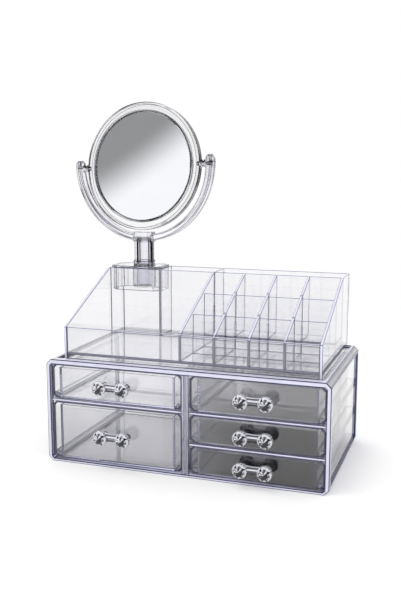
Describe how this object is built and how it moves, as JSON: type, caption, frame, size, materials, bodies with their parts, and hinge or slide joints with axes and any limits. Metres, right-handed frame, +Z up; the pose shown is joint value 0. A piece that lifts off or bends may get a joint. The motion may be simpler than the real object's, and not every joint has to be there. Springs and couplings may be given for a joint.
{
  "type": "makeup organizer with drawers and mirror",
  "caption": "Clear makeup organizer: a cabinet of drawers with bow knobs, a lift-off divided tray on top, and a round two-sided mirror on a post that plugs into the tray.",
  "frame": {"origin": "centre of the cabinet's rectangular underside, on the surface it stands on", "axes": "+Z up, -Y to the front where the drawers open, +X to the right seen from the front"},
  "size_m": [0.3386, 0.1845, 0.3813],
  "materials": {
    "clear_cabinet": "clear polystyrene, polished mould",
    "clear_drawer_box": "clear polystyrene, polished mould",
    "clear_drawer_front": "clear polystyrene, polished mould",
    "clear_tray": "clear acrylic sheet, polished edges",
    "clear_mirror_frame": "clear polystyrene, polished mould",
    "clear_knob": "clear acrylic, faceted",
    "steel_screws": "bright plated",
    "steel_pins": "bright plated",
    "silvered_glass": "silvered on the back",
    "grey_card": "dull board"
  },
  "bodies": {
    "cabinet": {"cabinet_shell": "clear_cabinet", "cabinet_back": "clear_cabinet", "centre_spine": "clear_cabinet", "left_shelf": "clear_cabinet", "right_upper_shelf": "clear_cabinet", "right_lower_shelf": "clear_cabinet"},
    "upper_left_drawer": {"upper_left_box": "clear_drawer_box", "upper_left_front": "clear_drawer_front", "upper_left_knob": "clear_knob", "upper_left_screws": "steel_screws"},
    "lower_left_drawer": {"lower_left_box": "clear_drawer_box", "lower_left_front": "clear_drawer_front", "lower_left_knob": "clear_knob", "lower_left_screws": "steel_screws"},
    "upper_right_drawer": {"upper_right_box": "clear_drawer_box", "upper_right_front": "clear_drawer_front", "upper_right_knob": "clear_knob", "upper_right_screws": "steel_screws"},
    "middle_right_drawer": {"middle_right_box": "clear_drawer_box", "middle_right_front": "clear_drawer_front", "middle_right_knob": "clear_knob", "middle_right_screws": "steel_screws"},
    "lower_right_drawer": {"lower_right_box": "clear_drawer_box", "lower_right_front": "clear_drawer_front", "lower_right_knob": "clear_knob", "lower_right_screws": "steel_screws"},
    "tray": {"tray_floor": "clear_tray", "tray_front_wall": "clear_tray", "tray_back_wall": "clear_tray", "tray_left_wall": "clear_tray", "tray_right_wall": "clear_tray", "rear_row_wall": "clear_tray", "main_divider": "clear_tray", "left_column_divider": "clear_tray", "middle_column_divider": "clear_tray", "right_column_divider": "clear_tray", "front_row_wall": "clear_tray", "middle_row_wall": "clear_tray", "raised_row_floor": "clear_tray", "socket_partition": "clear_tray"},
    "mirror_post": {"mirror_plug": "clear_mirror_frame", "stem_collar": "clear_mirror_frame", "mirror_stem": "clear_mirror_frame"},
    "yoke": {"yoke": "clear_mirror_frame"},
    "mirror": {"left_pivot_pin": "steel_pins", "right_pivot_pin": "steel_pins", "ring_front": "clear_mirror_frame", "ring_back": "clear_mirror_frame", "glass_front": "silvered_glass", "glass_back": "silvered_glass", "mirror_backing": "grey_card"}
  },
  "joints": [
    {"name": "upper_left_drawer_slide", "type": "slide", "parent": "cabinet", "child": "upper_left_drawer", "axis": [0, -1, 0], "range_m": [0, 0.13]},
    {"name": "lower_left_drawer_slide", "type": "slide", "parent": "cabinet", "child": "lower_left_drawer", "axis": [0, -1, 0], "range_m": [0, 0.13]},
    {"name": "upper_right_drawer_slide", "type": "slide", "parent": "cabinet", "child": "upper_right_drawer", "axis": [0, -1, 0], "range_m": [0, 0.13]},
    {"name": "middle_right_drawer_slide", "type": "slide", "parent": "cabinet", "child": "middle_right_drawer", "axis": [0, -1, 0], "range_m": [0, 0.13]},
    {"name": "lower_right_drawer_slide", "type": "slide", "parent": "cabinet", "child": "lower_right_drawer", "axis": [0, -1, 0], "range_m": [0, 0.13]},
    {"name": "tray_lift", "type": "slide", "parent": "cabinet", "child": "tray", "axis": [0, 0, 1], "range_m": [0, 0.05]},
    {"name": "mirror_post_lift", "type": "slide", "parent": "tray", "child": "mirror_post", "axis": [0, 0, 1], "range_m": [0, 0.06]},
    {"name": "yoke_swivel", "type": "hinge", "parent": "mirror_post", "child": "yoke", "pos_m": [-0.0995, 0.0621, 0.2], "axis": [0, 0, 1], "continuous": true},
    {"name": "mirror_tilt", "type": "hinge", "parent": "yoke", "child": "mirror", "pos_m": [-0.0995, 0.0621, 0.3083], "axis": [0.9928, -0.1114, 0.0436], "continuous": true}
  ]
}
